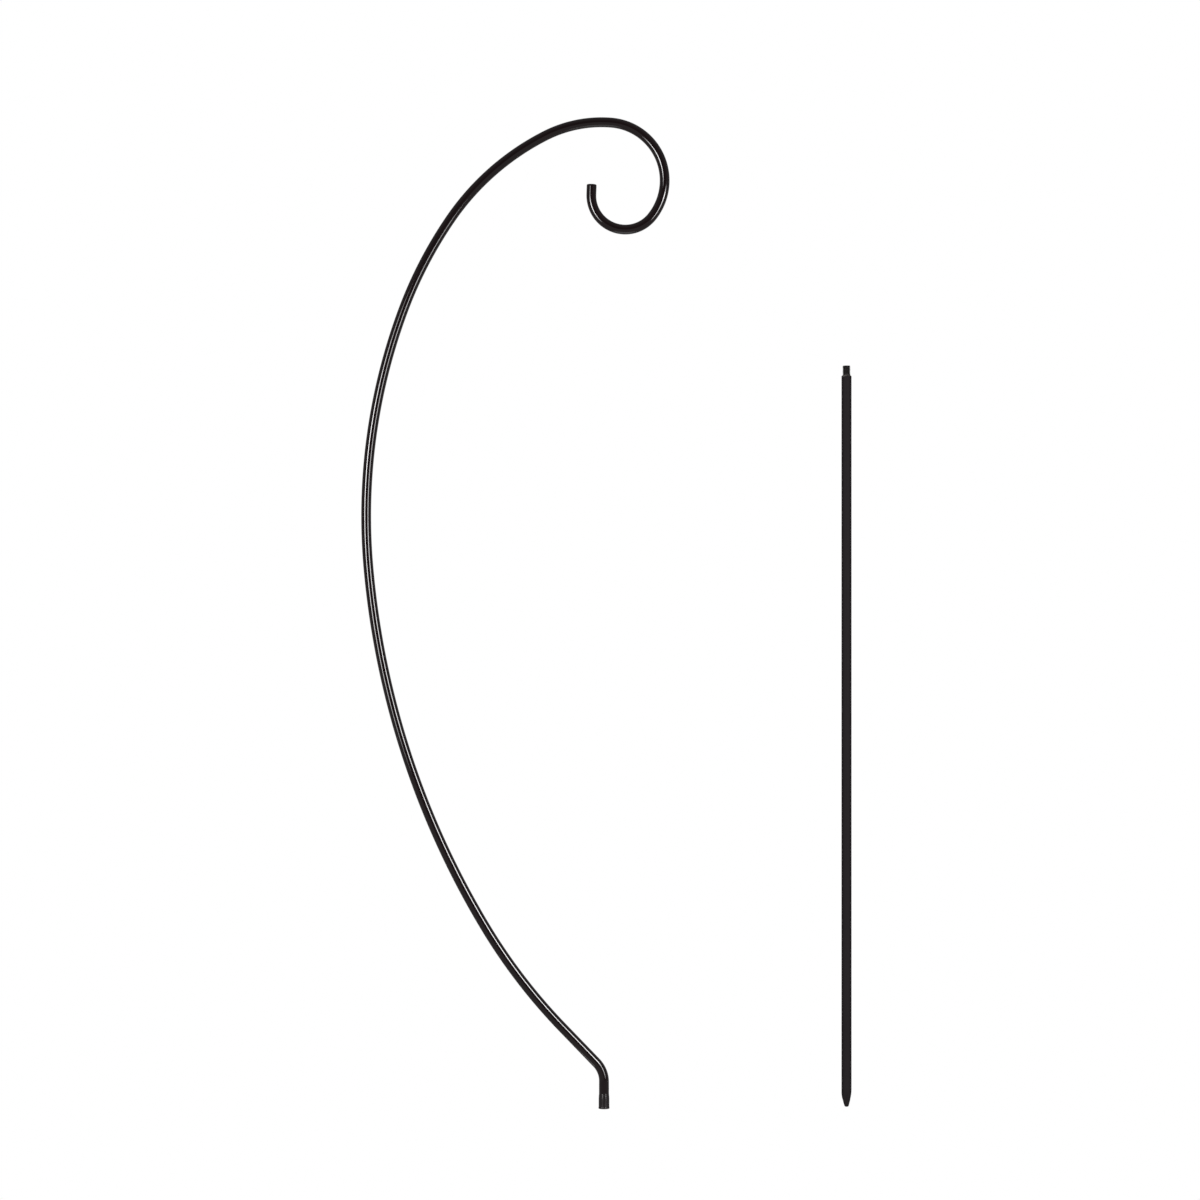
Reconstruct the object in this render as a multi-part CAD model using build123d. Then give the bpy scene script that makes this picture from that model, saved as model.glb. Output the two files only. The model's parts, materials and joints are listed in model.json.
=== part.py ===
from build123d import *
import os
from math import radians, tan

# A two-piece garden lantern hook: a bowed arm that ends in a curled hook, and the ground stake that
# screws into its foot. Millimetres and degrees. The arm lies in the XZ plane, +Z up. The origin is the
# centre of the socket's mouth, on the screw axis. The stake stands apart at the arm's right.

# Bar stock
bar_diameter = 10.0

# Screw thread M8, drawn plain: the stud at the thread's outer size, the socket at its tap drill
thread_diameter = 8.0
thread_pitch = 1.25
drill_point_angle = 118.0

# Threaded stud
stud_length = 10.0
stud_chamfer = 0.6
stud_root_diameter = 6.0
stud_root_length = 12.0
root_clearance = 0.05
root_end_clearance = 0.5

# Socket on the foot of the arm
socket_swell = 0.35
socket_length = 15.0
socket_taper_length = 4.5
socket_rim_width = 0.15
socket_rim_height = 1.4
socket_edge_rounding = 0.3
mouth_chamfer = 0.4
tapping_allowance = 1.5

# Arm, in order from the socket to the tip of the hook. The first bend turns left, all others turn right.
foot_length = 12.0
foot_bend_radius = 27.0
foot_bend_angle = 44.0
foot_run_length = 49.0
bow_foot_radius = 560.0
bow_foot_angle = 13.0
bow_low_radius = 840.0
bow_low_angle = 26.0
bow_middle_radius = 590.0
bow_middle_angle = 25.5
bow_high_radius = 420.0
bow_high_angle = 14.0
bow_shoulder_radius = 255.0
bow_shoulder_angle = 28.5
bow_top_radius = 124.0
bow_top_angle = 31.5
curl_outer_radius = 58.0
curl_outer_angle = 124.5
curl_inner_radius = 34.0
curl_inner_angle = 143.0
tip_length = 10.0
tip_rounding = 1.0

# Ground stake
stake_length = 731.0
shoulder_chamfer = 0.5
point_end_width = 3.6
right_flat_length = 14.5
left_flat_length = 11.5
front_flat_length = 13.0
back_flat_length = 13.0
nose_rounding = 0.8

# Place of the stake beside the arm
stake_offset = 242.5
stake_point_height = 1.7

bar_radius = bar_diameter / 2
tap_drill_radius = (thread_diameter - thread_pitch) / 2
tapped_depth = stud_length + tapping_allowance
shoulder_height = stake_point_height + stake_length


def arm_centreline():
    """The bar's centreline, from the top of the socket to the end of the hook."""
    right_turns = [
        (bow_foot_radius, bow_foot_angle),
        (bow_low_radius, bow_low_angle),
        (bow_middle_radius, bow_middle_angle),
        (bow_high_radius, bow_high_angle),
        (bow_shoulder_radius, bow_shoulder_angle),
        (bow_top_radius, bow_top_angle),
        (curl_outer_radius, curl_outer_angle),
        (curl_inner_radius, curl_inner_angle),
    ]
    with BuildLine(Plane.XZ) as line:
        foot = Line((0, socket_length), (0, socket_length + foot_length))
        bend = JernArc(foot @ 1, foot % 1, foot_bend_radius, foot_bend_angle)
        last = PolarLine(bend @ 1, foot_run_length, direction=bend % 1)
        for radius, angle in right_turns:
            last = JernArc(last @ 1, last % 1, radius, -angle)
        PolarLine(last @ 1, tip_length, direction=last % 1)
    return line.wire()


def make_hook_arm():
    """One round bar along the centreline, with the sawn edge of its tip rounded."""
    path = arm_centreline()
    section = Plane(path @ 0, z_dir=path % 0) * Circle(bar_radius)
    bar = sweep(section, path=path)
    tip_face = bar.faces().sort_by_distance(path @ 1)[0]
    return fillet(tip_face.edges(), tip_rounding)


def make_threaded_socket():
    """Round coupling: a rim at its mouth, a taper up to the bar, and a blind tapped hole from below."""
    outer = bar_radius + socket_swell
    rim = outer + socket_rim_width
    body = revolve(
        Plane.XZ
        * make_face(
            Polyline(
                (0, 0),
                (rim, 0),
                (rim, socket_rim_height),
                (outer, socket_rim_height + socket_rim_width),
                (outer, socket_length - socket_taper_length),
                (bar_radius, socket_length),
                (0, socket_length),
                close=True,
            )
        ),
        Axis.Z,
    )
    drill_point = tap_drill_radius / tan(radians(drill_point_angle / 2))
    hole = revolve(
        Plane.XZ
        * make_face(
            Polyline(
                (0, 0),
                (tap_drill_radius + mouth_chamfer, 0),
                (tap_drill_radius, mouth_chamfer),
                (tap_drill_radius, tapped_depth),
                (0, tapped_depth + drill_point),
                close=True,
            )
        ),
        Axis.Z,
    )
    mouth_edge = body.edges().filter_by(GeomType.CIRCLE).sort_by(Axis.Z)[0]
    return fillet(mouth_edge, socket_edge_rounding) - hole


def stake_place():
    """The stake's own frame: the middle of its shoulder, on its axis."""
    return Location((stake_offset, 0, shoulder_height))


def point_flat(turn, length):
    """The wedge that one flat of the point takes off the bar, turned about the stake's axis."""
    beyond = bar_radius
    half_end = point_end_width / 2
    slope = (bar_radius - half_end) / length
    wedge = Plane.XZ * make_face(
        Polyline(
            (half_end - slope * beyond, -beyond),
            (bar_radius + slope * beyond, length + beyond),
            (bar_radius + 2 * beyond, length + beyond),
            (bar_radius + 2 * beyond, -beyond),
            close=True,
        )
    )
    return Rot(0, 0, turn) * extrude(wedge, bar_diameter, both=True)


def make_ground_stake():
    """Round bar with a chamfered shoulder, a hole for the stud's root, and a blunt four-flat point."""
    bar = Pos(0, 0, -stake_length / 2) * Cylinder(bar_radius, stake_length)
    shoulder_edge = bar.edges().filter_by(GeomType.CIRCLE).sort_by(Axis.Z)[-1]
    bar = chamfer(shoulder_edge, shoulder_chamfer)
    flats = [
        (0, right_flat_length),
        (90, back_flat_length),
        (180, left_flat_length),
        (270, front_flat_length),
    ]
    for turn, length in flats:
        bar -= Pos(0, 0, -stake_length) * point_flat(turn, length)
    nose = bar.faces().sort_by(Axis.Z)[0]
    bar = fillet(nose.edges(), nose_rounding)
    root_depth = stud_root_length + root_end_clearance
    root_hole = Cylinder(stud_root_diameter / 2 + root_clearance, root_depth)
    bar -= Pos(0, 0, -root_depth / 2) * root_hole
    return stake_place() * bar


def make_threaded_stud():
    """Threaded length above the shoulder, with a chamfered end, and the root below it."""
    thread = Pos(0, 0, stud_length / 2) * Cylinder(thread_diameter / 2, stud_length)
    end_edge = thread.edges().filter_by(GeomType.CIRCLE).sort_by(Axis.Z)[-1]
    thread = chamfer(end_edge, stud_chamfer)
    root = Pos(0, 0, -stud_root_length / 2) * Cylinder(stud_root_diameter / 2, stud_root_length)
    return stake_place() * (thread + root)


pieces = {
    "hook_arm": make_hook_arm(),
    "threaded_socket": make_threaded_socket(),
    "ground_stake": make_ground_stake(),
    "threaded_stud": make_threaded_stud(),
}

os.makedirs("parts", exist_ok=True)
for name, piece in pieces.items():
    export_step(piece, f"parts/{name}.step")
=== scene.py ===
"""Looks of a two-piece garden lantern hook: a bowed arm with a curled hook, and the stake it screws on.

Shapes are worked out in millimetres and become meshes in metres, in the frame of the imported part:
the arm lies in the XZ plane, +Z up, with the origin at the centre of the socket's mouth. The stake
stands at its right.
"""

import json

import bpy
import numpy as np
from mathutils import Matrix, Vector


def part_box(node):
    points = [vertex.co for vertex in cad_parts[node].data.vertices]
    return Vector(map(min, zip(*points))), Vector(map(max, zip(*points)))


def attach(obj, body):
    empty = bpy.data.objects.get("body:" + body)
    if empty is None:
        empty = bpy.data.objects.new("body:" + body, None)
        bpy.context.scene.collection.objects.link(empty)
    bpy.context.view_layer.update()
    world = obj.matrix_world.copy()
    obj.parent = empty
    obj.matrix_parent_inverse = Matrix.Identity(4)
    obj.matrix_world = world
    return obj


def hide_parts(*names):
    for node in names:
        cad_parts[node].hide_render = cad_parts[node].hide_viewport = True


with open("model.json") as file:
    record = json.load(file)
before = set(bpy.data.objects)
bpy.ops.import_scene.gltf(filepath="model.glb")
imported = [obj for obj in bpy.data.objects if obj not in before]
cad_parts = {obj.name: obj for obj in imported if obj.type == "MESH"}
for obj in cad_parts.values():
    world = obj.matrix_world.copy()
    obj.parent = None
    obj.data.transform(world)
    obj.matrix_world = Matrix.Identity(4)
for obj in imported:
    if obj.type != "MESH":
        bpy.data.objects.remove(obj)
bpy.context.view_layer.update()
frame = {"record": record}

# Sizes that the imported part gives, in millimetres
MM = 0.001
MOUNTS = {mount["name"]: mount["dims"] for mount in frame["record"]["mounts"]}
BAR_RADIUS = MOUNTS["stake_shank"]["r_mm"]
STUD_RADIUS = MOUNTS["stake_stud"]["r_mm"]
BORE_RADIUS = MOUNTS["arm_socket"]["r_mm"]
SOCKET_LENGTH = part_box("threaded_socket")[1].z / MM
SOCKET_RIM_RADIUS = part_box("threaded_socket")[1].x / MM
STAKE_AXIS = (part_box("ground_stake")[0].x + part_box("ground_stake")[1].x) / 2 / MM
STAKE_POINT_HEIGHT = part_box("ground_stake")[0].z / MM
SHOULDER_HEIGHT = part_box("ground_stake")[1].z / MM
STAKE_LENGTH = SHOULDER_HEIGHT - STAKE_POINT_HEIGHT
STUD_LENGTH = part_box("threaded_stud")[1].z / MM - SHOULDER_HEIGHT
ROOT_LENGTH = SHOULDER_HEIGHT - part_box("threaded_stud")[0].z / MM

# The arm's middle line, from the top of the socket to the end of the hook: the radius of each bend and
# the degrees that it turns to the right, or the length of a straight run
FOOT_RUN = 12.0
FOOT_BEND = (27.0, -44.0)
CRANK_RUN = 49.0
BOW_BENDS = [(560.0, 13.0), (840.0, 26.0), (590.0, 25.5), (420.0, 14.0), (255.0, 28.5), (124.0, 31.5)]
CURL_BENDS = [(58.0, 124.5), (34.0, 143.0)]
TIP_RUN = 10.0
TIP_ROUNDING = 1.0

# Thread M8
THREAD_PITCH = 1.25
CREST_FLAT = THREAD_PITCH / 8
FLANK_SLOPE = np.sqrt(3.0)
STUD_THREAD_DEPTH = 0.6134 * THREAD_PITCH
BORE_THREAD_DEPTH = STUD_RADIUS - BORE_RADIUS

# Socket
SOCKET_WALL_RADIUS = 5.35
SOCKET_RIM_HEIGHT = 1.4
RIM_SLOPE_HEIGHT = 0.3
SOCKET_TAPER_LENGTH = 4.5
MOUTH_CHAMFER = 0.4
TAPPED_DEPTH = 11.5
DRILL_POINT_ANGLE = 118.0
DRILL_POINT_LENGTH = BORE_RADIUS / np.tan(np.radians(DRILL_POINT_ANGLE / 2))

# Stake and stud
SHOULDER_CHAMFER = 0.5
ROOT_RADIUS = 3.0
ROOT_HOLE_RADIUS = 3.05
ROOT_HOLE_DEPTH = 12.5
POINT_HALF_WIDTH = 1.8
POINT_FLAT_LENGTHS = np.array([14.5, 13.0, 11.5, 13.0])
NOSE_LENGTH = 1.7
STUD_CHAMFER = 0.6

# Points round each piece
ARM_SIDES = 56
TURNED_SIDES = 96

# Rings along each piece
BAR_RINGS = 1150
SHANK_RINGS = 200
BORE_RINGS = 230
STUD_RINGS = 210
POINT_RING_STEP = 0.12

# Share of a strip of the map that stays empty at each side
STRIP_MARGIN = 0.04

# Picture: square, 1.2 m wide at the object, taken level from 3 m
PICTURE_WIDTH = 1.2
PICTURE_MIDDLE = (-0.004, 0.5084)
CAMERA_DISTANCE = 3.0
SENSOR_WIDTH = 36.0


# Shapes


def round_angles(sides):
    """Equal angles round a piece, counter-clockwise about its path."""
    return np.linspace(0.0, 2 * np.pi, sides, endpoint=False)[None, :]


def smooth_step(value):
    """Rises from 0 to 1 as the value does, level at both ends."""
    share = np.clip(value, 0.0, 1.0)
    return share * share * (3.0 - 2.0 * share)


def eased(points, ease):
    """A profile of straight lines with eased corners. Each corner becomes a parabola that leaves the
    lines at its ease before and after it, and a further point as far again out on each line keeps
    the line straight."""
    points = np.array(points, float)
    corner = points[1:-1]
    reach = np.array(ease, float)[:, None]
    back = points[:-2] - corner
    back = back / np.linalg.norm(back, axis=1, keepdims=True) * reach
    onward = points[2:] - corner
    onward = onward / np.linalg.norm(onward, axis=1, keepdims=True) * reach
    share = np.linspace(0.0, 1.0, 5)[None, :, None]
    curve = (1 - share) ** 2 * (corner + back)[:, None] + share**2 * (corner + onward)[:, None]
    curve = curve + 2 * share * (1 - share) * corner[:, None]
    before = (corner + 2 * back)[:, None]
    after = (corner + 2 * onward)[:, None]
    spans = np.concatenate([before, curve, after], axis=1)
    return np.concatenate([points[:1], spans.reshape(-1, 2), points[-1:]])


def turned(radius, height, axis=0.0):
    """Rings about the upright axis: x and y are the radius times the cosine and sine of the angle.
    The radius is one number for each height, or one for each height and angle."""
    angle = round_angles(TURNED_SIDES)
    radius = np.broadcast_to(np.reshape(radius, (len(height), -1)), (len(height), TURNED_SIDES))
    level = np.broadcast_to(np.reshape(height, (-1, 1)), radius.shape)
    return np.stack([axis + radius * np.cos(angle), radius * np.sin(angle), level], axis=-1)


def thread_groove(height, depth):
    """Depth of a right-handed thread's groove at each height and angle. It grows from zero at the
    edge of the crest flat, by the tangent of 60 degrees with the distance along the axis from the
    nearest crest, up to the full depth. The crest climbs one pitch a turn."""
    climb = height[:, None] / THREAD_PITCH - round_angles(TURNED_SIDES) / (2 * np.pi)
    from_crest = THREAD_PITCH * np.abs(climb - np.round(climb))
    return np.clip((from_crest - CREST_FLAT / 2) * FLANK_SLOPE, 0.0, depth)


def strip_map(along, sides, strips):
    """Map of a skin: for each band between neighbouring rings, the place of its low and high edge
    along its strip, and for each side the places of its left and right edge across the strip, before
    the strip's own shift. The piece's length is cut into equal strips that lie one over the other."""
    middle = 0.5 * (along[1:] + along[:-1]) / along[-1]
    strip = np.floor(strips * middle).astype(int)
    start = along[np.searchsorted(strip, np.arange(strips))][strip]
    longest = np.max(along[1:] - start)
    edges = STRIP_MARGIN + (1 - 2 * STRIP_MARGIN) * np.arange(sides + 1) / sides
    return (along[:-1] - start) / longest, (along[1:] - start) / longest, edges / strips, strip / strips


def mesh_of_rings(name, rings):
    """A closed surface over rings of points: four-sided faces between neighbouring rings, and a fan
    of triangles to the middle of the ring at each end."""
    rows, sides = rings.shape[:2]
    poles = np.stack([rings[0].mean(axis=0), rings[-1].mean(axis=0)])
    here = np.arange(rows * sides).reshape(rows, sides)
    beside = np.roll(here, -1, axis=1)
    start_pole = np.full(sides, rows * sides)
    start_fan = np.stack([start_pole, beside[0], here[0]], axis=-1)
    wall = np.stack([here[:-1], beside[:-1], beside[1:], here[1:]], axis=-1)
    end_fan = np.stack([start_pole + 1, here[-1], beside[-1]], axis=-1)
    faces = np.concatenate([start_fan.ravel(), wall.ravel(), end_fan.ravel()])
    corners = np.repeat([3, 4, 3], [sides, (rows - 1) * sides, sides])

    mesh = bpy.data.meshes.new(name)
    mesh.vertices.add(rows * sides + 2)
    mesh.vertices.foreach_set("co", (np.concatenate([rings.reshape(-1, 3), poles]) * MM).ravel())
    mesh.loops.add(int(corners.sum()))
    mesh.loops.foreach_set("vertex_index", faces)
    mesh.polygons.add(len(corners))
    mesh.polygons.foreach_set("loop_start", np.cumsum(corners) - corners)
    mesh.update(calc_edges=True)
    mesh.shade_smooth()
    return mesh


def add_map(mesh, along, sides, strips):
    """The map OFBake, which unrolls the surface in strips. A fan's tip lies midway between its
    sides."""
    low, high, edges, shift = strip_map(along, sides, strips)
    left, right = edges[:-1], edges[1:]
    level = np.ones(sides)
    fan_ends = [(low[0], high[0], shift[0], right, left), (high[-1], low[-1], shift[-1], left, right)]
    fans = [
        np.stack(
            [
                np.stack([tip * level, rim * level, rim * level], axis=-1),
                np.stack([(left + right) / 2, first, second], axis=-1) + lift,
            ],
            axis=-1,
        )
        for tip, rim, lift, first, second in fan_ends
    ]
    wall_u = np.stack([edge[1:-1, None] * level for edge in (low, low, high, high)], axis=-1)
    wall_v = np.stack([side + shift[1:-1, None] for side in (left, right, right, left)], axis=-1)
    wall_map = np.stack([wall_u, wall_v], axis=-1)
    spots = np.concatenate([fans[0].ravel(), wall_map.ravel(), fans[1].ravel()])
    mesh.uv_layers.new(name="OFBake").uv.foreach_set("vector", spots.astype(np.float32))


def add_grain(mesh, along, width, sides):
    """The attribute grain: the distance along the piece, and the width of its ring times the cosine
    and sine of the angle round it, in millimetres, for lengthwise patterns."""
    turn = round_angles(sides)
    across = np.stack([width[:, None] * np.cos(turn), width[:, None] * np.sin(turn)], axis=-1)
    place = np.broadcast_to(along[1:-1, None, None], (len(width), sides, 1))
    grain = np.concatenate([place, across], axis=-1).reshape(-1, 3)
    grain = np.concatenate([grain, [[along[0], 0.0, 0.0], [along[-1], 0.0, 0.0]]])
    attribute = mesh.attributes.new("grain", "FLOAT_VECTOR", "POINT")
    attribute.data.foreach_set("vector", grain.astype(np.float32).ravel())


def skin(name, rings, strips):
    """A piece over rings of points, with its map and grain. The distance along it is the sum of the
    mean steps from ring to ring, and the mean radius of the first and last ring is the step from its
    pole."""
    mesh = mesh_of_rings(name, rings)
    width = np.linalg.norm(rings - rings.mean(axis=1, keepdims=True), axis=-1).mean(axis=1)
    steps = np.linalg.norm(np.diff(rings, axis=0), axis=-1).mean(axis=1)
    along = np.concatenate([[0.0], np.cumsum(np.concatenate([width[:1], steps, width[-1:]]))])
    add_map(mesh, along, rings.shape[1], strips)
    add_grain(mesh, along, width, rings.shape[1])
    piece = bpy.data.objects.new(name, mesh)
    bpy.context.scene.collection.objects.link(piece)
    return piece


def arm_runs():
    """Length and left turn in radians of each run of the arm's middle line."""
    all_bends = [FOOT_BEND, *BOW_BENDS, *CURL_BENDS]
    bends = [(radius * np.radians(abs(turn)), np.radians(-turn)) for radius, turn in all_bends]
    return np.array([(FOOT_RUN, 0.0), bends[0], (CRANK_RUN, 0.0), *bends[1:], (TIP_RUN, 0.0)])


def arm_line(distance):
    """Place, heading and curvature at distances along the arm's middle line. Within a run that turns
    evenly, the chord from its start is the distance times the sinc of half the turn so far, and
    points half that turn on from the run's first heading."""
    lengths, turns = arm_runs().T
    curvature = turns / lengths
    run_start = np.cumsum(lengths) - lengths
    run_heading = np.pi / 2 + np.cumsum(turns) - turns

    def chord(run, passed):
        half_turn = curvature[run] * passed / 2
        size = passed * np.sinc(half_turn / np.pi)
        pointing = run_heading[run] + half_turn
        return np.stack([size * np.cos(pointing), size * np.sin(pointing)], axis=-1)

    whole = chord(np.arange(len(lengths)), lengths)
    run_place = np.cumsum(whole, axis=0) - whole + np.array([0.0, SOCKET_LENGTH])
    run = np.clip(np.searchsorted(run_start, distance, side="right") - 1, 0, len(lengths) - 1)
    passed = distance - run_start[run]
    heading = run_heading[run] + curvature[run] * passed
    return run_place[run] + chord(run, passed), heading, curvature[run]


# Share by which cold bending flattens the bar, for the square of its radius over the bend's
BEND_FLATTENING = 0.6

# Rings over which the flattening of neighbouring bends blends, and the eased edge at the bar's foot
BLEND_RINGS = 9
FOOT_EASE = 0.15


def make_bow_and_hook():
    """The arm's bar. At a distance along the line and an angle round it, a point lies off the line by
    its reach times the cosine towards the inside of the bow and the sine towards +Y. The reach is the
    bar's radius, less a share of it: the flattening times the cosine squared. The tip's edge is a
    quarter circle."""
    length = arm_runs()[:, 0].sum()
    bar = np.linspace(FOOT_EASE, length - TIP_ROUNDING, BAR_RINGS)
    bend_size = np.abs(arm_line(bar)[2])
    padded = np.pad(bend_size, BLEND_RINGS // 2, mode="edge")
    bend_size = np.convolve(padded, np.ones(BLEND_RINGS) / BLEND_RINGS, mode="valid")
    flattening = BEND_FLATTENING * (BAR_RADIUS * bend_size) ** 2

    corner = np.linspace(0.0, np.pi / 2, 7)[1:]
    tip = length - TIP_ROUNDING + TIP_ROUNDING * np.sin(corner)
    tip_radius = BAR_RADIUS - TIP_ROUNDING + TIP_ROUNDING * np.cos(corner)
    foot_radius = BAR_RADIUS * np.array([0.08, 0.5, 0.96, 0.985])
    face_radius = tip_radius[-1] * np.array([0.97, 0.5, 0.08])
    distance = np.concatenate([np.zeros(4), bar, tip, np.full(3, length)])
    radius = np.concatenate([foot_radius, np.full(BAR_RINGS, BAR_RADIUS), tip_radius, face_radius])
    flattening = np.concatenate([np.zeros(4), flattening, np.zeros(len(tip) + 3)])

    place, heading, _ = arm_line(distance)
    angle = round_angles(ARM_SIDES)
    reach = radius[:, None] * (1 - flattening[:, None] * np.cos(angle) ** 2)
    inward = reach * np.cos(angle)
    x = place[:, :1] + inward * np.sin(heading)[:, None]
    z = place[:, 1:] - inward * np.cos(heading)[:, None]
    return skin("bow_and_hook", np.stack([x, reach * np.sin(angle), z], axis=-1), strips=8)


# The bore's thread fades out over the tap's last turns, and clear of the bottom
BORE_FADE_LENGTH = 2.5
BORE_PLAIN_LENGTH = 0.6


def make_screw_socket():
    """The turned coupling, from the drill's cone down the tapped bore, over the mouth, up the wall
    and over the top. The bore's radius is the tap drill's plus what the thread cuts, which fades out
    over the tap's last turns at the bottom, and no less than the countersink's at the mouth."""
    cone_share = np.array([0.08, 0.35, 0.7, 0.97])
    cone = turned(BORE_RADIUS * cone_share, TAPPED_DEPTH + DRILL_POINT_LENGTH * (1 - cone_share))
    height = np.linspace(TAPPED_DEPTH, 0.0, BORE_RINGS)
    fade = smooth_step((TAPPED_DEPTH - BORE_PLAIN_LENGTH - height) / BORE_FADE_LENGTH)[:, None]
    cut = (BORE_THREAD_DEPTH - thread_groove(height, BORE_THREAD_DEPTH)) * fade
    countersink = BORE_RADIUS + MOUTH_CHAMFER - height[:, None]
    bore_radius = np.maximum(BORE_RADIUS + cut, countersink)
    outside = eased(
        [
            (bore_radius[-1].max() + 0.1, 0.0),
            (SOCKET_RIM_RADIUS, 0.0),
            (SOCKET_RIM_RADIUS, SOCKET_RIM_HEIGHT),
            (SOCKET_WALL_RADIUS, SOCKET_RIM_HEIGHT + RIM_SLOPE_HEIGHT),
            (SOCKET_WALL_RADIUS, SOCKET_LENGTH - SOCKET_TAPER_LENGTH),
            (BAR_RADIUS, SOCKET_LENGTH),
            (0.3, SOCKET_LENGTH),
        ],
        ease=[0.3, 0.12, 0.12, 1.2, 0.05],
    )
    rings = np.concatenate([cone, turned(bore_radius, height), turned(outside[:, 0], outside[:, 1])])
    return skin("screw_socket", rings, strips=2)


# Lumps that the press leaves on the flats of the point, with the radians a millimetre of their two
# waves, how sharp its edges are and how full its nose is
PRESS_MARK_DEPTH = 0.07
PRESS_MARK_TURNS = (1.9, 0.7)
PRESS_MARK_SHIFT = 2.3
EDGE_SHARPNESS = 26.0
NOSE_FULLNESS = 2.4


def point_radius(height):
    """Radius of the stake at heights above the end of its point. Each flat is a plane that leans out
    from the end, so its radius is its distance from the axis over the cosine of the angle from it.
    The radius is the soft minimum of the four and the bar's own: the root of the sum of high
    negative powers. The nose closes it like an ellipse of high power."""
    angle = round_angles(TURNED_SIDES)
    height = height[:, None]
    flat_turn = np.radians([0.0, 90.0, 180.0, 270.0])[:, None, None]
    facing = np.clip(np.cos(angle - flat_turn), 0.02, 1.0)
    lean = ((BAR_RADIUS - POINT_HALF_WIDTH) / POINT_FLAT_LENGTHS)[:, None, None]
    quick, slow = PRESS_MARK_TURNS
    wave = np.sin(quick * height + PRESS_MARK_SHIFT * flat_turn) * np.cos(slow * height - flat_turn)
    plane = (POINT_HALF_WIDTH + lean * height + PRESS_MARK_DEPTH * wave) / facing
    powers = (plane**-EDGE_SHARPNESS).sum(axis=0) + BAR_RADIUS**-EDGE_SHARPNESS
    below_nose_top = 1 - np.clip(height / NOSE_LENGTH, 0.0, 1.0)
    return powers ** (-1 / EDGE_SHARPNESS) * (1 - below_nose_top**NOSE_FULLNESS) ** (1 / NOSE_FULLNESS)


# Height up to which the point's rings stand close, past the top of its longest flat
POINT_TOP = 19.0


def make_stake_rod():
    """The stake's bar: its four-flat point and its shank by height, then the chamfered shoulder, and
    down the hole that the stud's root stands in."""
    nose = NOSE_LENGTH * (1 - np.cos(np.linspace(0.12, np.pi / 2, 16)))
    point = np.arange(NOSE_LENGTH + POINT_RING_STEP, POINT_TOP, POINT_RING_STEP)
    shank = np.linspace(point[-1] + 2.0, STAKE_LENGTH - 8.0, SHANK_RINGS)
    height = np.concatenate([nose, point, shank])
    top = eased(
        [
            (BAR_RADIUS, STAKE_LENGTH - 5.0),
            (BAR_RADIUS, STAKE_LENGTH - SHOULDER_CHAMFER),
            (BAR_RADIUS - SHOULDER_CHAMFER, STAKE_LENGTH),
            (ROOT_HOLE_RADIUS, STAKE_LENGTH),
            (ROOT_HOLE_RADIUS, STAKE_LENGTH - ROOT_HOLE_DEPTH),
            (0.3, STAKE_LENGTH - ROOT_HOLE_DEPTH),
        ],
        ease=[0.1, 0.1, 0.06, 0.2],
    )
    below = turned(point_radius(height), height + STAKE_POINT_HEIGHT, STAKE_AXIS)
    above = turned(top[:, 0], top[:, 1] + STAKE_POINT_HEIGHT, STAKE_AXIS)
    return skin("stake_rod", np.concatenate([below, above]), strips=6)


# The stud's thread runs out over this length, from this height above the shoulder
RUN_OUT_LENGTH = 1.1
RUN_OUT_START = 0.35


def make_screw_stud():
    """The stud, up from its root in the stake. Above the shoulder its radius is the thread's outer
    one less the groove, which runs out towards the shoulder, and the chamfered end cuts the last
    crests."""
    root = eased(
        [
            (0.3, -ROOT_LENGTH),
            (ROOT_RADIUS, -ROOT_LENGTH),
            (ROOT_RADIUS, 0.0),
            (STUD_RADIUS - 0.06, 0.0),
        ],
        ease=[0.3, 0.08],
    )
    height = np.concatenate([[0.05], np.linspace(0.1, STUD_LENGTH - 0.03, STUD_RINGS)])
    run_out = smooth_step((height - RUN_OUT_START) / RUN_OUT_LENGTH)[:, None]
    end_cone = STUD_RADIUS - STUD_CHAMFER + STUD_LENGTH - height[:, None]
    radius = np.minimum(STUD_RADIUS - thread_groove(height, STUD_THREAD_DEPTH) * run_out, end_cone)
    end_radius = radius[-1].min() * np.array([0.98, 0.6, 0.1])
    parts = [
        turned(root[:, 0], root[:, 1] + SHOULDER_HEIGHT, STAKE_AXIS),
        turned(radius, height + SHOULDER_HEIGHT, STAKE_AXIS),
        turned(end_radius, np.full(3, STUD_LENGTH) + SHOULDER_HEIGHT, STAKE_AXIS),
    ]
    return skin("screw_stud", np.concatenate(parts), strips=2)


# Finishes


def linear(hex_colour):
    """The linear colour of an sRGB hex value."""
    value = np.array([int(hex_colour[i : i + 2], 16) for i in (1, 3, 5)]) / 255
    return (*np.where(value <= 0.04045, value / 12.92, ((value + 0.055) / 1.055) ** 2.4).tolist(), 1.0)


def per_metre(size_mm):
    """Scale of a pattern on coordinates in metres, for features of this size."""
    return 1.0 / (size_mm * MM)


def node(tree, kind, inputs=None, **settings):
    """Adds a node with its settings. The inputs, by name or number, are values, or sockets to join
    on."""
    made = tree.nodes.new(kind)
    for name, value in settings.items():
        setattr(made, name, value)
    for name, value in (inputs or {}).items():
        if isinstance(value, bpy.types.NodeSocket):
            tree.links.new(value, made.inputs[name])
        else:
            made.inputs[name].default_value = value
    return made


# A colour mix has its factor, first and second colour at these places, and its result at this one
MIX_FACTOR, MIX_FIRST, MIX_SECOND = 0, 6, 7
MIX_RESULT = 2


def new_finish(name):
    """An empty material, its node tree and its coordinates in metres."""
    material = bpy.data.materials.new(name)
    material.use_nodes = True
    tree = material.node_tree
    tree.nodes.clear()
    return material, tree, node(tree, "ShaderNodeTexCoord").outputs["Object"]


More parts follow.
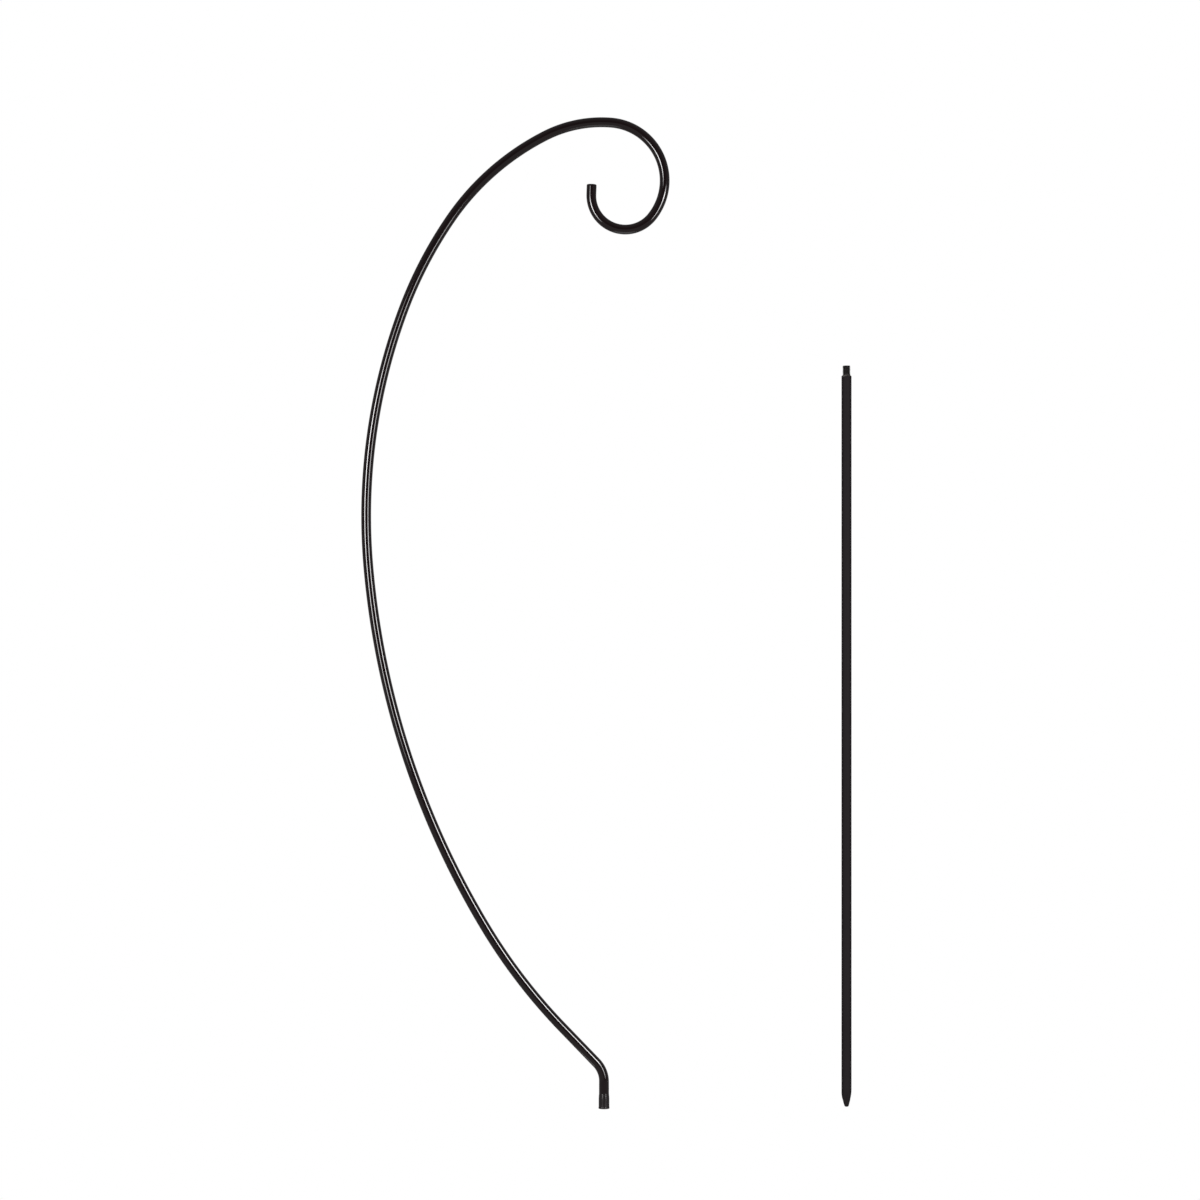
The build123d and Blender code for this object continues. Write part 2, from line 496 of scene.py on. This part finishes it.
def close_finish(tree, **inputs):
    """The surface shader with these inputs, joined to the output. An underscore stands for a space."""
    inputs = {name.replace("_", " "): value for name, value in inputs.items()}
    shader = node(tree, "ShaderNodeBsdfPrincipled", inputs)
    node(tree, "ShaderNodeOutputMaterial", {"Surface": shader.outputs["BSDF"]})


# Sizes of a finish's patterns are in millimetres, as drawn, and roughness runs from smoothest to
# dullest patch
ARM_ROUGHNESS = (0.05, 0.10)
ARM_CLOUD = 40.0
DULL_PATCH = 14.0
PEEL_CELL = 5.0
PEEL_DEPTH = 0.012
DRAW_MARK = 0.6
DRAW_MARK_DEPTH = 0.006
DRAW_MARK_STRETCH = 0.02


def gloss_black_enamel():
    """Stoved black enamel, dipped on bent steel bar: deep black under a clear smooth skin (IOR 1.5,
    roughness 0.05 to 0.1), which shows a lamp as a thin bright line. The wet coat dries to an orange
    peel with cells of about 1.5 mm, drawn at 5 mm to show at all. The bar's drawing marks, 0.1 mm
    apart, run along it under the coat and are drawn at 0.6 mm. Handling has left the skin a little
    duller in patches."""
    material, tree, place = new_finish("gloss_black_enamel")
    grain = node(tree, "ShaderNodeAttribute", attribute_name="grain").outputs["Vector"]
    clouds = node(
        tree,
        "ShaderNodeTexNoise",
        {"Vector": place, "Scale": per_metre(ARM_CLOUD), "Detail": 4.0},
    )
    colour = node(
        tree,
        "ShaderNodeMix",
        {
            MIX_FACTOR: clouds.outputs["Fac"],
            MIX_FIRST: linear("#080304"),
            MIX_SECOND: linear("#120A0B"),
        },
        data_type="RGBA",
    )
    patches = node(
        tree,
        "ShaderNodeTexNoise",
        {"Vector": place, "Scale": per_metre(DULL_PATCH), "Detail": 5.0},
    )
    dullness = node(
        tree,
        "ShaderNodeMapRange",
        {
            "Value": patches.outputs["Fac"],
            "From Min": 0.35,
            "From Max": 0.75,
            "To Min": ARM_ROUGHNESS[0],
            "To Max": ARM_ROUGHNESS[1],
        },
    )
    peel = node(
        tree,
        "ShaderNodeTexNoise",
        {"Vector": place, "Scale": per_metre(PEEL_CELL), "Detail": 1.0},
    )
    stretched = node(
        tree,
        "ShaderNodeMapping",
        {"Vector": grain, "Scale": (DRAW_MARK_STRETCH, 1.0, 1.0)},
    )
    marks = node(
        tree,
        "ShaderNodeTexNoise",
        {"Vector": stretched.outputs["Vector"], "Scale": 1 / DRAW_MARK},
    )
    peel_bump = node(
        tree,
        "ShaderNodeBump",
        {"Height": peel.outputs["Fac"], "Distance": PEEL_DEPTH * MM, "Strength": 0.6},
    )
    bump = node(
        tree,
        "ShaderNodeBump",
        {
            "Height": marks.outputs["Fac"],
            "Distance": DRAW_MARK_DEPTH * MM,
            "Strength": 0.5,
            "Normal": peel_bump.outputs["Normal"],
        },
    )
    close_finish(
        tree,
        Base_Color=colour.outputs[MIX_RESULT],
        Roughness=dullness.outputs["Result"],
        Normal=bump.outputs["Normal"],
        IOR=1.5,
    )
    return material


def steel_share(tree, place, axis, radius, soft):
    """1 inside the radius from an upright axis and 0 outside it, with a soft border, in millimetres."""
    centred = node(
        tree,
        "ShaderNodeVectorMath",
        {0: place, 1: (axis * MM, 0.0, 0.0)},
        operation="SUBTRACT",
    )
    flat = node(
        tree, "ShaderNodeVectorMath", {0: centred.outputs[0], 1: (1.0, 1.0, 0.0)}, operation="MULTIPLY"
    )
    reach = node(tree, "ShaderNodeVectorMath", {0: flat.outputs[0]}, operation="LENGTH")
    return node(
        tree,
        "ShaderNodeMapRange",
        {
            "Value": reach.outputs["Value"],
            "From Min": (radius - soft) * MM,
            "From Max": (radius + soft) * MM,
            "To Min": 1.0,
            "To Max": 0.0,
        },
    ).outputs["Result"]


SOCKET_ROUGHNESS = (0.24, 0.32)
SOCKET_CLOUD = 9.0
BARE_BORDER = 0.05
LATHE_RING = 0.7
LATHE_RING_DEPTH = 0.002

# Waves of a wave pattern in one length of its scale
WAVES_IN_SCALE = 20 / (2 * np.pi)


def satin_black_enamel():
    """The same black enamel, thinner over a turned steel coupling (IOR 1.5, roughness about 0.3).
    The lathe leaves rings about 0.15 mm apart, drawn at 0.7 mm to show. Inside, the tapped bore is
    bare oiled steel of the same dullness, masked from being coated."""
    material, tree, place = new_finish("satin_black_enamel")
    bare = steel_share(tree, place, 0.0, STUD_RADIUS + BARE_BORDER, BARE_BORDER)
    clouds = node(
        tree,
        "ShaderNodeTexNoise",
        {"Vector": place, "Scale": per_metre(SOCKET_CLOUD), "Detail": 4.0},
    )
    coat = node(
        tree,
        "ShaderNodeMix",
        {
            MIX_FACTOR: clouds.outputs["Fac"],
            MIX_FIRST: linear("#0A0607"),
            MIX_SECOND: linear("#140E10"),
        },
        data_type="RGBA",
    )
    colour = node(
        tree,
        "ShaderNodeMix",
        {MIX_FACTOR: bare, MIX_FIRST: coat.outputs[MIX_RESULT], MIX_SECOND: linear("#6F6A66")},
        data_type="RGBA",
    )
    dullness = node(
        tree,
        "ShaderNodeMapRange",
        {
            "Value": clouds.outputs["Fac"],
            "From Min": 0.3,
            "From Max": 0.7,
            "To Min": SOCKET_ROUGHNESS[0],
            "To Max": SOCKET_ROUGHNESS[1],
        },
    )
    rings = node(
        tree,
        "ShaderNodeTexWave",
        {
            "Vector": place,
            "Scale": per_metre(LATHE_RING * WAVES_IN_SCALE),
            "Distortion": 0.4,
            "Detail": 2.0,
        },
        bands_direction="Z",
    )
    bump = node(
        tree,
        "ShaderNodeBump",
        {"Height": rings.outputs["Fac"], "Distance": LATHE_RING_DEPTH * MM, "Strength": 0.4},
    )
    close_finish(
        tree,
        Base_Color=colour.outputs[MIX_RESULT],
        Metallic=bare,
        Roughness=dullness.outputs["Result"],
        Normal=bump.outputs["Normal"],
        IOR=1.5,
    )
    return material


STAKE_ROUGHNESS = (0.6, 0.72)
STAKE_CLOUD = 30.0
POWDER_LUMP = 2.2
POWDER_LUMP_DEPTH = 0.05
RUB_SPOT = 2.5

# The rubbing at the shoulder starts and is full at these distances under it
RUB_START = 1.1
RUB_FULL = 0.3


def satin_black_powder_coat():
    """Black polyester powder, sprayed dry and baked (IOR 1.5, roughness about 0.65): no clear
    reflection. The grains melt into lumps of about 1 mm, drawn at 2.2 mm to show. The lumps hide
    each other at low angles, so little light is mirrored and the specular level is low. It is rubbed
    through to the steel on the edge of the shoulder, where the socket screws down."""
    material, tree, place = new_finish("satin_black_powder_coat")
    clouds = node(
        tree,
        "ShaderNodeTexNoise",
        {"Vector": place, "Scale": per_metre(STAKE_CLOUD), "Detail": 5.0},
    )
    coat = node(
        tree,
        "ShaderNodeMix",
        {
            MIX_FACTOR: clouds.outputs["Fac"],
            MIX_FIRST: linear("#100C0E"),
            MIX_SECOND: linear("#191517"),
        },
        data_type="RGBA",
    )
    height = node(tree, "ShaderNodeSeparateXYZ", {0: place}).outputs["Z"]
    near_shoulder = node(
        tree,
        "ShaderNodeMapRange",
        {
            "Value": height,
            "From Min": (SHOULDER_HEIGHT - RUB_START) * MM,
            "From Max": (SHOULDER_HEIGHT - RUB_FULL) * MM,
        },
    )
    spots = node(
        tree,
        "ShaderNodeTexNoise",
        {"Vector": place, "Scale": per_metre(RUB_SPOT), "Detail": 3.0},
    )
    spots = node(
        tree,
        "ShaderNodeMapRange",
        {
            "Value": spots.outputs["Fac"],
            "From Min": 0.46,
            "From Max": 0.58,
        },
    )
    rubbed = node(
        tree,
        "ShaderNodeMath",
        {0: near_shoulder.outputs["Result"], 1: spots.outputs["Result"]},
        operation="MULTIPLY",
    ).outputs["Value"]
    colour = node(
        tree,
        "ShaderNodeMix",
        {MIX_FACTOR: rubbed, MIX_FIRST: coat.outputs[MIX_RESULT], MIX_SECOND: linear("#8A8580")},
        data_type="RGBA",
    )
    dullness = node(
        tree,
        "ShaderNodeMapRange",
        {
            "Value": clouds.outputs["Fac"],
            "From Min": 0.3,
            "From Max": 0.7,
            "To Min": STAKE_ROUGHNESS[0],
            "To Max": STAKE_ROUGHNESS[1],
        },
    )
    lumps = node(
        tree,
        "ShaderNodeTexNoise",
        {"Vector": place, "Scale": per_metre(POWDER_LUMP), "Detail": 2.0},
    )
    bump = node(
        tree,
        "ShaderNodeBump",
        {"Height": lumps.outputs["Fac"], "Distance": POWDER_LUMP_DEPTH * MM, "Strength": 0.6},
    )
    close_finish(
        tree,
        Base_Color=colour.outputs[MIX_RESULT],
        Metallic=rubbed,
        Roughness=dullness.outputs["Result"],
        Normal=bump.outputs["Normal"],
        IOR=1.5,
        Specular_IOR_Level=0.1,
    )
    return material


STUD_ROUGHNESS = (0.34, 0.5)
CUT_TEAR = 0.4
CUT_TEAR_DEPTH = 0.01
CREST_WEAR_DEPTH = 0.25
CREST_WEAR_BORDER = 0.15


def black_oxide_thread():
    """Hot black oxide on a cut steel thread: a thin dark skin that takes on the cut's own sheen
    (roughness about 0.4). The crests are worn grey by screwing. Cutting leaves fine tears, 0.1 mm
    wide, drawn at 0.4 mm."""
    material, tree, place = new_finish("black_oxide_thread")
    within = steel_share(tree, place, STAKE_AXIS, STUD_RADIUS - CREST_WEAR_DEPTH, CREST_WEAR_BORDER)
    scratches = node(
        tree,
        "ShaderNodeTexNoise",
        {"Vector": place, "Scale": per_metre(CUT_TEAR), "Detail": 3.0},
    )
    worn = node(
        tree,
        "ShaderNodeMapRange",
        {
            "Value": scratches.outputs["Fac"],
            "From Min": 0.4,
            "From Max": 0.7,
            "To Min": 0.0,
            "To Max": 0.6,
        },
    )
    on_crest = node(tree, "ShaderNodeMath", {0: 1.0, 1: within}, operation="SUBTRACT")
    worn = node(
        tree,
        "ShaderNodeMath",
        {0: worn.outputs["Result"], 1: on_crest.outputs["Value"]},
        operation="MULTIPLY",
    ).outputs["Value"]
    colour = node(
        tree,
        "ShaderNodeMix",
        {MIX_FACTOR: worn, MIX_FIRST: linear("#0C0A0A"), MIX_SECOND: linear("#5A5552")},
        data_type="RGBA",
    )
    dullness = node(
        tree,
        "ShaderNodeMapRange",
        {
            "Value": scratches.outputs["Fac"],
            "From Min": 0.3,
            "From Max": 0.7,
            "To Min": STUD_ROUGHNESS[0],
            "To Max": STUD_ROUGHNESS[1],
        },
    )
    bump = node(
        tree,
        "ShaderNodeBump",
        {"Height": scratches.outputs["Fac"], "Distance": CUT_TEAR_DEPTH * MM, "Strength": 0.6},
    )
    close_finish(
        tree,
        Base_Color=colour.outputs[MIX_RESULT],
        Metallic=worn,
        Roughness=dullness.outputs["Result"],
        Normal=bump.outputs["Normal"],
        IOR=1.5,
        Specular_IOR_Level=0.2,
    )
    return material


# Setting

# Strip lamps: place, width and height in metres, degrees that the top leans in, radiance, and the
# shares of it at places from the bottom, 0, to the top, 1
LEFT_LAMP = ((-1.18, -1.8, 0.665), 0.44, 1.39, 0.0, 20.0)
LEFT_SHARES = {0: 0.05, 0.12: 0.15, 0.62: 0.45, 0.75: 0.36, 0.88: 0.17, 1: 0.04}
RIGHT_LAMP = ((1.29, -1.5, 0.465), 0.43, 1.41, 34.0, 20.0)
RIGHT_SHARES = {0: 0.08, 0.4: 0.18, 0.62: 0.18, 0.85: 0.46, 0.9: 0.2, 1: 0.04}

# Floor, set low so that the bars mirror little of it, and its glow for the camera's and mirrored rays
FLOOR_HEIGHT = -0.5
FLOOR_RADIUS = 0.5
FLOOR_SIDES = 96
FLOOR_GLOW = 0.22

# Room: its glow behind the camera, at the sides and under the horizon as mirrored rays meet it, its
# light on surfaces, and the spans of direction over which one glow blends into the next, from -1 to 1
FRONT_GLOW = 0.06
SIDE_GLOW = 0.25
GROUND_GLOW = 0.32
DIFFUSE_GLOW = 0.6
FRONT_TO_SIDE = (-1.0, -0.3)
SIDE_TO_BACK = (0.72, 1.0)
GROUND_TO_ROOM = (-0.22, -0.06)


def make_strip_lamp(name, lamp, shares):
    """A strip lamp that faces the object, with its glow shared out along its height. Radiance times
    area times four times pi is the power that gives the lamp that radiance."""
    place, width, height, lean, radiance = lamp
    data = bpy.data.lights.new(name, "AREA")
    data.shape = "RECTANGLE"
    data.size = width
    data.size_y = height
    data.energy = radiance * width * height * 4 * np.pi
    data.use_nodes = True
    tree = data.node_tree
    tree.nodes.clear()
    spot = node(tree, "ShaderNodeNewGeometry").outputs["Parametric"]
    rise = node(tree, "ShaderNodeSeparateXYZ", {0: spot}).outputs["Y"]
    ramp = node(tree, "ShaderNodeValToRGB", {"Fac": rise})
    stops = ramp.color_ramp.elements
    for rise_share, share in shares.items():
        at_end = {0: stops[0], 1: stops[-1]}
        stop = at_end[rise_share] if rise_share in at_end else stops.new(rise_share)
        stop.color = (share, share, share, 1.0)
    glow = node(tree, "ShaderNodeEmission", {"Strength": ramp.outputs["Color"]})
    node(tree, "ShaderNodeOutputLight", {"Surface": glow.outputs["Emission"]})
    holder = bpy.data.objects.new(name, data)
    holder.location = place
    turn = np.arctan2(place[0], -place[1])
    holder.rotation_euler = (np.pi / 2 - np.radians(lean), 0.0, turn)
    holder.visible_camera = False
    bpy.context.scene.collection.objects.link(holder)


def room_glow(tree):
    """Strength of the room's light: 1 for the camera's rays, the glow by direction for mirrored and
    bent ones, where +Y is away from the camera, and one even glow for the light on surfaces."""
    path = node(tree, "ShaderNodeLightPath")
    direction = node(tree, "ShaderNodeTexCoord").outputs["Generated"]
    direction = node(tree, "ShaderNodeSeparateXYZ", {0: direction})
    sides = node(
        tree,
        "ShaderNodeMapRange",
        {
            "Value": direction.outputs["Y"],
            "From Min": FRONT_TO_SIDE[0],
            "From Max": FRONT_TO_SIDE[1],
            "To Min": FRONT_GLOW,
            "To Max": SIDE_GLOW,
        },
    )
    white = node(
        tree,
        "ShaderNodeMapRange",
        {
            "Value": direction.outputs["Y"],
            "From Min": SIDE_TO_BACK[0],
            "From Max": SIDE_TO_BACK[1],
            "To Min": sides.outputs["Result"],
            "To Max": 1.0,
        },
        interpolation_type="SMOOTHSTEP",
    )
    white = node(
        tree,
        "ShaderNodeMapRange",
        {
            "Value": direction.outputs["Z"],
            "From Min": GROUND_TO_ROOM[0],
            "From Max": GROUND_TO_ROOM[1],
            "To Min": GROUND_GLOW,
            "To Max": white.outputs["Result"],
        },
        interpolation_type="SMOOTHSTEP",
    )
    mirrored = node(
        tree,
        "ShaderNodeMath",
        {0: path.outputs["Is Glossy Ray"], 1: path.outputs["Is Transmission Ray"]},
        operation="ADD",
    )
    mirrored = node(
        tree,
        "ShaderNodeMath",
        {0: mirrored.outputs["Value"], 1: white.outputs["Result"]},
        operation="MULTIPLY",
    )
    seen = node(
        tree,
        "ShaderNodeMath",
        {0: path.outputs["Is Camera Ray"], 1: mirrored.outputs["Value"]},
        operation="ADD",
    )
    lit = node(
        tree,
        "ShaderNodeMath",
        {0: path.outputs["Is Diffuse Ray"], 1: DIFFUSE_GLOW, 2: seen.outputs["Value"]},
        operation="MULTIPLY_ADD",
    )
    return lit.outputs["Value"]


def make_world():
    """Plain white room, darker behind the camera."""
    world = bpy.data.worlds.new("plain_room")
    bpy.context.scene.world = world
    world.use_nodes = True
    tree = world.node_tree
    tree.nodes.clear()
    glow = node(
        tree, "ShaderNodeBackground", {"Color": linear("#FFFFFF"), "Strength": room_glow(tree)}
    )
    node(tree, "ShaderNodeOutputWorld", {"Surface": glow.outputs["Background"]})


def make_floor():
    """Pale round sheet under the object. The light on it alone brings it nearly to white, and its glow
    for the camera's and mirrored rays takes it past, so it shows no shadow."""
    angle = np.linspace(0.0, 2 * np.pi, FLOOR_SIDES, endpoint=False)
    level = np.full(FLOOR_SIDES, FLOOR_HEIGHT)
    rim = np.stack([FLOOR_RADIUS * np.cos(angle), FLOOR_RADIUS * np.sin(angle), level], axis=-1)
    mesh = bpy.data.meshes.new("floor_sheet")
    mesh.from_pydata(rim.tolist(), [], [list(range(FLOOR_SIDES))])
    sheet = bpy.data.objects.new("floor_sheet", mesh)
    bpy.context.scene.collection.objects.link(sheet)
    material = bpy.data.materials.new("pale_paper")
    material.use_nodes = True
    tree = material.node_tree
    tree.nodes.clear()
    path = node(tree, "ShaderNodeLightPath")
    seen = node(
        tree,
        "ShaderNodeMath",
        {0: path.outputs["Is Camera Ray"], 1: path.outputs["Is Glossy Ray"]},
        operation="ADD",
    )
    seen = node(
        tree,
        "ShaderNodeMath",
        {0: seen.outputs["Value"], 1: path.outputs["Is Transmission Ray"]},
        operation="ADD",
    )
    glow = node(tree, "ShaderNodeMath", {0: seen.outputs["Value"], 1: FLOOR_GLOW}, operation="MULTIPLY")
    shader = node(
        tree,
        "ShaderNodeBsdfPrincipled",
        {
            "Base Color": linear("#EDEDED"),
            "Roughness": 0.9,
            "Emission Color": linear("#FFFFFF"),
            "Emission Strength": glow.outputs["Value"],
        },
    )
    node(tree, "ShaderNodeOutputMaterial", {"Surface": shader.outputs["BSDF"]})
    mesh.materials.append(material)


def make_camera():
    """Level camera in front of the object, at about half its height."""
    data = bpy.data.cameras.new("front_camera")
    data.sensor_width = SENSOR_WIDTH
    data.lens = SENSOR_WIDTH * CAMERA_DISTANCE / PICTURE_WIDTH
    camera = bpy.data.objects.new("front_camera", data)
    camera.location = (PICTURE_MIDDLE[0], -CAMERA_DISTANCE, PICTURE_MIDDLE[1])
    camera.rotation_euler = (np.pi / 2, 0.0, 0.0)
    bpy.context.scene.collection.objects.link(camera)
    bpy.context.scene.camera = camera


# Pieces: each with its finish, the body it rides on, the node it stands for and that node's slot
for piece, finish, body, cad_node, slot_name in [
    (make_bow_and_hook(), gloss_black_enamel(), "arm", "hook_arm", "arm_coat"),
    (make_screw_socket(), satin_black_enamel(), "arm", "threaded_socket", "socket_coat"),
    (make_stake_rod(), satin_black_powder_coat(), "stake", "ground_stake", "stake_coat"),
    (make_screw_stud(), black_oxide_thread(), "stake", "threaded_stud", "stud_thread"),
]:
    piece.data.materials.append(finish)
    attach(piece, body)
    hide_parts(cad_node)

make_world()
make_floor()
make_strip_lamp("left_strip_lamp", LEFT_LAMP, LEFT_SHARES)
make_strip_lamp("right_strip_lamp", RIGHT_LAMP, RIGHT_SHARES)
make_camera()
bpy.context.scene.view_settings.view_transform = "Standard"
